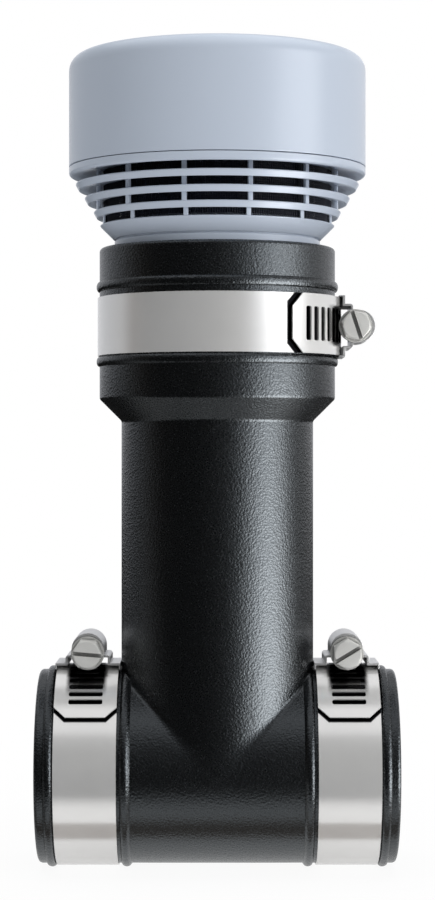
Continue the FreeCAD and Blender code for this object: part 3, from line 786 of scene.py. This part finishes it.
def graded(first, last, count, growth):
    """Shares from 0 to 1 whose steps grow from the first by a factor."""
    total = [0.0]
    for number in range(count):
        total.append(total[-1] + min(first * growth ** number, last))
    return [t / total[-1] for t in total]


ring_half = graded(0.0006, 0.024, 34, 1.28)
ring_shares = [s / 2 for s in ring_half] + [1 - s / 2 for s in ring_half[-2::-1]]
branch_shares = graded(0.0011, 0.045, 40, 1.17)
turns = [2 * math.pi * number / columns for number in range(columns)]
print("points round the run:", len(ring_shares), "up the branch:", len(branch_shares))


# %% Build the tee
def wall(tube_r, run_of_x, top_z, ends, above):
    """One skin of the tee: branch, run, both ends of the run and what stands on the branch."""
    points, faces, run, branch = crossing(tube_r, run_of_x, top_z)
    mouths = []
    for side, last in ((1, run[0]), (-1, run[-1])):
        for x in ends:
            row = run_row(points, side * x, run_of_x(x))
            bridge(faces, last, row)
            last = row
        mouths.append(last)
    rim = [column[-1] for column in branch]
    for radius, height in above:
        row = add_row(points, [(radius * math.cos(t), radius * math.sin(t), height) for t in turns])
        bridge(faces, rim, row, closed=True)
        rim = row
    return points, faces, mouths, rim


def skin_distance(p):
    """How far points are outside the smooth union of branch and run, and how much it blends there.

    The blend narrows over the last four millimetres towards the outline.
    """
    radius = np.array([run_radius(x) for x in p[:, 0]])
    run_gap = np.hypot(p[:, 1], p[:, 2] - run_axis) - radius
    branch_gap = np.hypot(p[:, 0], p[:, 1]) - branch_r
    near = blend_reach * np.clip((25.2 - abs(p[:, 0])) / 4.0, 0.35, 1.0)
    blend = np.clip(near - abs(run_gap - branch_gap), 0, None) / near
    return np.minimum(run_gap, branch_gap) - blend ** 2 * near / 4, blend


def soften(points):
    """Pull points near the crease onto a smooth union of the branch and the run."""
    p = np.array(points)
    nudge = 0.01
    for _ in range(6):
        value, blend = skin_distance(p)
        index = np.nonzero((blend > 0) & (p[:, 2] > run_axis) & (p[:, 2] < 110))[0]
        q = p[index]
        slope = np.zeros_like(q)
        for axis, step in enumerate(np.eye(3) * nudge):
            rise = skin_distance(q + step)[0] - skin_distance(q - step)[0]
            slope[:, axis] = rise / (2 * nudge)
        square = np.clip((slope ** 2).sum(axis=1), 0.2, None)
        p[index] = q - slope * (value[index] / square)[:, None]
    return [tuple(v) for v in p]


outer_points, outer_faces, outer_mouths, outer_rim = wall(
    branch_r, run_radius, branch_top, end_xs, section)
inner_top = [(waterway_r, waterway_top), (pipe_r, pipe_z), (pipe_r, cone_z), (neck_r, collar_z),
             (neck_r, stop_z), (spigot_bore, stop_z), (spigot_bore, rim_z - 0.25),
             (spigot_bore + 0.25, rim_z)]
inner_points, inner_faces, inner_mouths, inner_rim = wall(
    waterway_r, lambda x: waterway_r, waterway_top - 0.05, [18.6, pipe_stop_x], inner_top)
offset = len(outer_points)
points = soften(outer_points) + inner_points
faces = outer_faces + [tuple(i + offset for i in face) for face in inner_faces]
bridge(faces, outer_rim, [i + offset for i in inner_rim], closed=True)
for side, outer_mouth, inner_mouth in zip((1, -1), outer_mouths, inner_mouths):
    last = [i + offset for i in inner_mouth]
    for x, radius in ((pipe_stop_x, pipe_r), (run_half - 0.4, pipe_r), (run_half, pipe_r + 0.4)):
        row = run_row(points, side * x, radius)
        bridge(faces, last, row)
        last = row
    bridge(faces, last, outer_mouth)
tee = plain_mesh("tee", points, faces, rubber)
finish_piece(tee, "fixed_body", "tee_rubber", "tee_connector")

# %% [markdown]
# Each band is a strip of polished steel, wound once round the rubber, with the slotted tail over its
# own start. It is made as it is in life: the strip is drawn flat with its slots and cut corners, given
# its thickness and an eased edge, cut across at every turn of two degrees, and wound. The collar's
# clamp is the bigger size, so its tail and its slots are longer along the strip. The faces' normals
# point straight out from the clamp's axis, so the strip mirrors as a true cylinder.


# %% Bands
winding_step = math.radians(2)
run_width = 15.9
collar_width = 15.1
collar_size = 1.18
strip_thickness = 0.45
strip_edge = 0.06
strip_gap = 0.05
tail_lift = 1.1
tail_reach = 25.5
corner_cut = 2.9
slot_length = 8.6
slot_width = 1.62
slot_pitch = 2.55
slot_first = 20.9
slot_count = 12
slot_round = 0.45
strip_start = math.radians(-17)
ramp_start = math.radians(300)
ramp_end = math.radians(336)


def flat_strip(tail_r, size, width):
    """The strip drawn flat, along X from the middle of the housing, as a mesh with holes."""
    whole = 2 * math.pi * tail_r
    end = whole + tail_reach * size
    half = width / 2
    cut = corner_cut * size
    outlines = [[(strip_start * tail_r, -half), (end - cut, -half), (end, cut - half), (end, half - cut),
                 (end - cut, half), (strip_start * tail_r, half)]]
    for number in range(slot_count):
        along = whole + (slot_first - number * slot_pitch) * size
        slot = []
        for way_x, way_y, start in ((1, 1, 0), (-1, 1, 90), (-1, -1, 180), (1, -1, 270)):
            x = along + way_x * (slot_width * size / 2 - slot_round)
            y = way_y * (slot_length / 2 - slot_round)
            for turn in np.radians([start, start + 30, start + 60, start + 90]):
                slot.append((x + slot_round * math.cos(turn), y + slot_round * math.sin(turn)))
        outlines.append(slot)
    curve = bpy.data.curves.new("flat strip", "CURVE")
    curve.dimensions = "2D"
    curve.fill_mode = "BOTH"
    curve.extrude = (strip_thickness / 2 - strip_edge) * MM
    curve.bevel_depth = strip_edge * MM
    curve.bevel_resolution = 1
    curve.offset = -strip_edge * MM
    for points in outlines:
        spline = curve.splines.new("POLY")
        spline.points.add(len(points) - 1)
        for point, (x, y) in zip(spline.points, points):
            point.co = (x * MM, y * MM, 0, 1)
        spline.use_cyclic_u = True
    holder = add_object("flat strip", curve)
    depsgraph = bpy.context.evaluated_depsgraph_get()
    mesh = bpy.data.meshes.new_from_object(holder.evaluated_get(depsgraph))
    bpy.data.objects.remove(holder)
    return mesh, end


def wound_band(name, node, up, middle, side, side_middle, wrapped_r, size, width, material):
    """Wind a flat strip round a clamp's axis, up its ramp and over its own start."""
    inner_r = wrapped_r + strip_gap
    tail_r = inner_r + tail_lift
    mesh, end = flat_strip(tail_r, size, width)
    work = merged(mesh, 0.0005)
    step = winding_step * tail_r
    for number in range(math.ceil(strip_start * tail_r / step), int(end / step) + 1):
        everything = work.verts[:] + work.edges[:] + work.faces[:]
        bmesh.ops.bisect_plane(work, geom=everything, dist=0.0005 * MM, plane_no=(1, 0, 0),
                               plane_co=(number * step * MM, 0, 0))
    centre = Vector((0, 0, 0))
    centre[up] = middle * MM
    centre[side] = side_middle * MM
    for vertex in work.verts:
        along, across, height = vertex.co / MM
        turn = along / tail_r
        climb = min(1.0, max(0.0, (turn - ramp_start) / (ramp_end - ramp_start)))
        radius = inner_r + tail_lift * climb + strip_thickness / 2 + height
        vertex.co = centre
        vertex.co.y -= radius * math.sin(turn) * MM
        vertex.co[up] += radius * math.cos(turn) * MM
        vertex.co[side] += across * MM
    bmesh.ops.recalc_face_normals(work, faces=work.faces)
    write_back(work, mesh)
    mesh.shade_smooth()
    normals = []
    for face in mesh.polygons:
        for index in face.vertices:
            out = mesh.vertices[index].co - centre
            out[side] = 0
            out.normalize()
            facing = face.normal.dot(out)
            normals.append(out * math.copysign(1, facing) if abs(facing) > 0.9 else face.normal.copy())
    mesh.normals_split_custom_set(normals)
    mesh.materials.clear()
    mesh.materials.append(material)
    finish_piece(add_object(name, mesh), "fixed_body", "band_steel", node)


for place, x in (("left", -clamp_x), ("right", clamp_x)):
    wound_band(place + "_strip", place + "_band", 2, run_axis, 0, x, run_r, 1.0, run_width, run_strip)
wound_band("collar_wrap", "collar_band", 0, 0.0, 2, collar_clamp_z, collar_r, collar_size, collar_width,
           collar_strip)

# %% [markdown]
# The saddles below the housings are coloured near black, which is painted shade. They and the inner
# pieces are plain enough to keep their solids' shape, and only take a finish.

# %% Finishes on the solids that stay
# The saddles' near-black steel is painted shade.
finishes = [(shadow_black, ("left_saddle", "right_saddle", "collar_saddle")), (acetal, ("guide_bush",)),
            (black, ("seat_tube", "valve_disc", "membrane_retainer")), (spring, ("stem_clip",)),
            (seal, ("membrane", "cap_gasket"))]
for material, names in finishes:
    for name in names:
        nodes[name].material_slots[0].material = material
    print(material.name, "on", names)

# %% [markdown]
# Housings and screws catch the light along their edges, which a solid's knife edges don't. A copy of
# each solid gets its flat faces back whole, and a narrow bevel rounds its edges.


# %% Housings and screws
def eased_copy(name, node, width_mm, material):
    """A copy of a solid with its edges rounded by a live bevel."""
    mesh = nodes[node].data.copy()
    work = merged(mesh, 0.001)
    bmesh.ops.dissolve_limit(work, angle_limit=math.radians(0.6), verts=work.verts, edges=work.edges)
    write_back(work, mesh)
    if mesh.has_custom_normals:
        mesh.normals_split_custom_set([(0, 0, 0)] * len(mesh.loops))
    smooth(mesh)
    mesh.materials.clear()
    mesh.materials.append(material)
    piece = add_object(name, mesh)
    bevel = piece.modifiers.new("eased edges", "BEVEL")
    bevel.width = width_mm * MM
    bevel.segments = 2
    bevel.limit_method = "ANGLE"
    bevel.angle_limit = math.radians(32)
    bevel.harden_normals = True
    return piece


for place in ("collar", "left", "right"):
    hood = eased_copy(place + "_hood", place + "_housing", 0.10, pressed)
    finish_piece(hood, "fixed_body", "housing_steel", place + "_housing")
    worm = eased_copy(place + "_worm_screw", place + "_screw", 0.12, plated)
    finish_piece(worm, place + "_screw_body", "screw_steel", place + "_screw")


# %% [markdown]
# The worm's thread is a ridge that climbs the shaft and drives the slots of the tail. The solids
# leave it out, because a rigid thread would cut the rigid band, so it is swept here along a spiral
# and turns with its screw.


# %% Worm threads
def thread_tree():
    tree, given = start_tree("worm thread", ("Radius", "Pitch", "Turns", "Height"))
    rise = maths(tree, "MULTIPLY", given["Pitch"], given["Turns"])
    spiral = add_node(tree, "GeometryNodeCurveSpiral", {
        "Rotations": given["Turns"], "Start Radius": given["Radius"], "End Radius": given["Radius"],
        "Height": rise, "Resolution": 40})
    level = add_node(tree, "GeometryNodeSetCurveNormal", {"Curve": spiral}, {"mode": "Z_UP"})
    ridge = add_node(tree, "GeometryNodeCurvePrimitiveCircle", {"Radius": given["Height"], "Resolution": 8})
    return finish_tree(tree, sweep(tree, level, ridge), given["Material"])


threads = thread_tree()
thread_start = 6.6
for place in ("collar", "left", "right"):
    thread = grow(place + "_thread", threads, {
        "Radius": 2.78 * MM, "Pitch": slot_pitch * MM, "Turns": 5.2, "Height": 0.42 * MM,
        "Material": plated})
    low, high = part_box(place + "_screw")
    axis_x = (low[0] + high[0]) / 2
    axis_z = (low[2] + high[2]) / 2
    for vertex in thread.data.vertices:
        x, y, z = vertex.co
        vertex.co = (axis_x + x, z - thread_start * MM, axis_z - y)
    finish_piece(thread, place + "_screw_body", "screw_steel")

# %% [markdown]
# The studio is a pale floor, a white background and soft light. The background is white for the camera
# only. What shiny surfaces mirror is drawn in the floor and in the world: a tall bright panel on the
# right makes the broad highlight, the camera's side is dim, which keeps the rubber's front dark, and a
# ring of light hangs high up. The panel is dim at the camera's level, so the polished strips, which
# mirror only that level, don't burn out. Two softboxes light the colours, and don't show in the
# reflections.


# %% Helpers for the studio
def rays(tree, kind):
    """1 on rays of one kind."""
    return add_node(tree, "ShaderNodeLightPath").outputs["Is " + kind + " Ray"]


def mirrored_rays(tree):
    """1 on rays that left a shiny or clear surface."""
    return maths(tree, "MAXIMUM", rays(tree, "Glossy"), rays(tree, "Transmission"))


def blend_shaders(tree, factor, first, second):
    """A Mix Shader."""
    return add_node(tree, "ShaderNodeMixShader", {0: factor, 1: first, 2: second})


def turn_share(tree, parts):
    """How far round a direction lies: 0.5 towards the camera, 0.75 to the right."""
    angle = maths(tree, "ARCTAN2", parts["X"], product(tree, parts["Y"], -1.0))
    return maths(tree, "MULTIPLY_ADD", angle, 1 / (2 * math.pi), 0.5)


def turn_fade(tree, around, start_deg, end_deg):
    """A smooth step between two turns to the right of the camera."""
    return fade(tree, around, 0.5 + start_deg / 360, 0.5 + end_deg / 360)


def right_panel(tree, around, off_level):
    """The bright panel on the right: soft towards the camera, and dim where it crosses the level."""
    wide, core = [product(tree, turn_fade(tree, around, *turns_deg), strength)
                  for turns_deg, strength in panel_rises]
    return product(tree, maths(tree, "ADD", wide, core), turn_fade(tree, around, *panel_end),
                   maths(tree, "MULTIPLY_ADD", off_level, 1 - panel_at_level, panel_at_level))


panel_rises = (((28, 50), 4.6), ((42, 56), 4.3))
panel_end = (94, 72)
panel_at_level = 0.08


# %% Floor
def floor_level(tree, parts, distance):
    """What shiny surfaces see: bright ground near the run, dimmer at the left, a painted shadow strip in
    front of the run, and then the panel.
    """
    away = maths(tree, "ABSOLUTE", parts["Y"])
    right = fade(tree, parts["X"], -0.02, 0.05)
    from_left = maths(tree, "MULTIPLY_ADD", fade(tree, parts["X"], -0.066, -0.042), 0.55, 0.45)
    near = product(tree, fade(tree, away, 0.070, 0.040), from_left, 0.85)
    level = maths(tree, "MAXIMUM", maths(tree, "MULTIPLY_ADD", right, 0.05, 0.020), near)
    panel = right_panel(tree, turn_share(tree, parts), fade(tree, distance, 2.0, 0.8))
    # Painted shadow: a brownish strip on the floor in front of the run, seen in reflections only.
    run_shadow_strip = product(tree, fade(tree, away, 0.0315, 0.0295), fade(tree, away, 0.019, 0.022))
    return maths(tree, "ADD", level, product(tree, panel, fade(tree, distance, 0.07, 0.16))), run_shadow_strip


def floor_material():
    material, tree, shader = start_material("pale floor")
    set_inputs(tree, shader, {
        "Base Color": (0.86, 0.86, 0.87, 1), "Roughness": 0.9, "Specular IOR Level": 0.0})
    points = object_points(tree)
    distance = add_node(tree, "ShaderNodeVectorMath", {0: points}, {"operation": "LENGTH"}).outputs["Value"]
    white = add_node(tree, "ShaderNodeEmission", {"Strength": 1.0})
    white_share = maths(tree, "MULTIPLY_ADD", fade(tree, distance, 0.08, 0.26), 0.06, 0.94)
    plain = blend_shaders(tree, product(tree, rays(tree, "Camera"), white_share), shader, white)
    level, run_shadow_strip = floor_level(tree, axes_of(tree, points), distance)
    drawn = add_node(tree, "ShaderNodeEmission", {
        "Color": mix_colours(tree, run_shadow_strip, (1, 1, 1), run_shadow_colour), "Strength": level})
    whole = blend_shaders(tree, mirrored_rays(tree), plain, drawn)
    set_inputs(tree, tree.nodes["Material Output"], {"Surface": whole})
    material.cycles.emission_sampling = "NONE"
    return material


reach = 6.0
# The colour of the painted shadow on the floor in front of the run.
run_shadow_colour = (0.24, 0.20, 0.17)
floor_mesh = bpy.data.meshes.new("floor")
floor_mesh.from_pydata([(-reach, -reach, 0), (reach, -reach, 0), (reach, reach, 0), (-reach, reach, 0)],
                       [], [(0, 1, 2, 3)])
floor_mesh.materials.append(floor_material())
floor = add_object("floor", floor_mesh)
print("floor laid")


# %% World
def drawn_ramp(tree, value, stops):
    """A ColorRamp from stops (place 0 to 1, red, green, blue)."""
    node = add_node(tree, "ShaderNodeValToRGB", {0: value})
    elements = node.color_ramp.elements
    while len(elements) < len(stops):
        elements.new(0.5)
    for element, (place, red, green, blue) in zip(elements, stops):
        element.position = place
        element.color = (red, green, blue, 1)
    return node.outputs["Color"]


side_stops = [(-180, 0.85, 0.86, 0.90), (-125, 0.50, 0.51, 0.54), (-104, 0.42, 0.42, 0.43),
              (-88, 0.09, 0.068, 0.055), (-70, 0.030, 0.026, 0.023), (-40, 0.018, 0.018, 0.018),
              (-15, 0.030, 0.030, 0.030), (4, 0.08, 0.08, 0.078), (20, 0.18, 0.18, 0.18),
              (36, 0.36, 0.37, 0.39), (100, 0.62, 0.62, 0.62), (180, 0.85, 0.86, 0.90)]
dome_stops = [(0.0, 0.10), (0.62, 0.20), (0.74, 0.70), (0.95, 0.74), (0.985, 0.14), (1.0, 0.10)]


def studio_world():
    world = bpy.data.worlds.new("studio")
    world.use_nodes = True
    world.cycles.sampling_method = "NONE"
    tree = world.node_tree
    tree.nodes.clear()
    parts = axes_of(tree, add_node(tree, "ShaderNodeTexCoord").outputs["Generated"])
    around = turn_share(tree, parts)
    sides = drawn_ramp(tree, around, [((a + 180) / 360, r, g, b) for a, r, g, b in side_stops])
    dome = drawn_ramp(tree, parts["Z"], [(p, v, v, v * 1.02) for p, v in dome_stops])
    drawn = mix_colours(tree, fade(tree, parts["Z"], 0.30, 0.62), sides, dome)
    panel = right_panel(tree, around, fade(tree, maths(tree, "ABSOLUTE", parts["Z"]), 0.05, 0.13))
    panel = product(tree, panel, fade(tree, parts["Z"], 0.46, 0.24))
    shiny = add_node(tree, "ShaderNodeBackground", {
        "Color": drawn, "Strength": maths(tree, "ADD", panel, 1.0)})
    soft = add_node(tree, "ShaderNodeBackground", {"Color": (0.95, 0.98, 1.0, 1), "Strength": 0.30})
    white = add_node(tree, "ShaderNodeBackground", {"Color": (1, 1, 1, 1), "Strength": 1.0})
    lit = blend_shaders(tree, mirrored_rays(tree), soft, shiny)
    whole = blend_shaders(tree, rays(tree, "Camera"), lit, white)
    add_node(tree, "ShaderNodeOutputWorld", {"Surface": whole})
    return world


bpy.context.scene.world = studio_world()
bpy.context.scene.view_settings.view_transform = "Standard"
print("world:", bpy.context.scene.world.name)


# %% Softboxes
def softbox(name, place, aim, size, radiance):
    """A square lamp, aimed at a point, whose face has a given brightness, where 1 is white."""
    lamp = bpy.data.lights.new(name, "AREA")
    lamp.shape = "SQUARE"
    lamp.size = size
    lamp.energy = radiance * math.pi * size ** 2
    box = add_object(name, lamp)
    box.location = place
    box.rotation_euler = (Vector(aim) - box.location).to_track_quat("-Z", "Y").to_euler()
    box.visible_glossy = False
    print(name, "power:", round(lamp.energy, 2))


middle_of_object = (0, 0, 0.11)
softbox("key", (0.84, -0.79, 0.34), middle_of_object, 0.9, 3.05)
softbox("top", (0.0, 0.1, 1.3), middle_of_object, 1.2, 3.4)
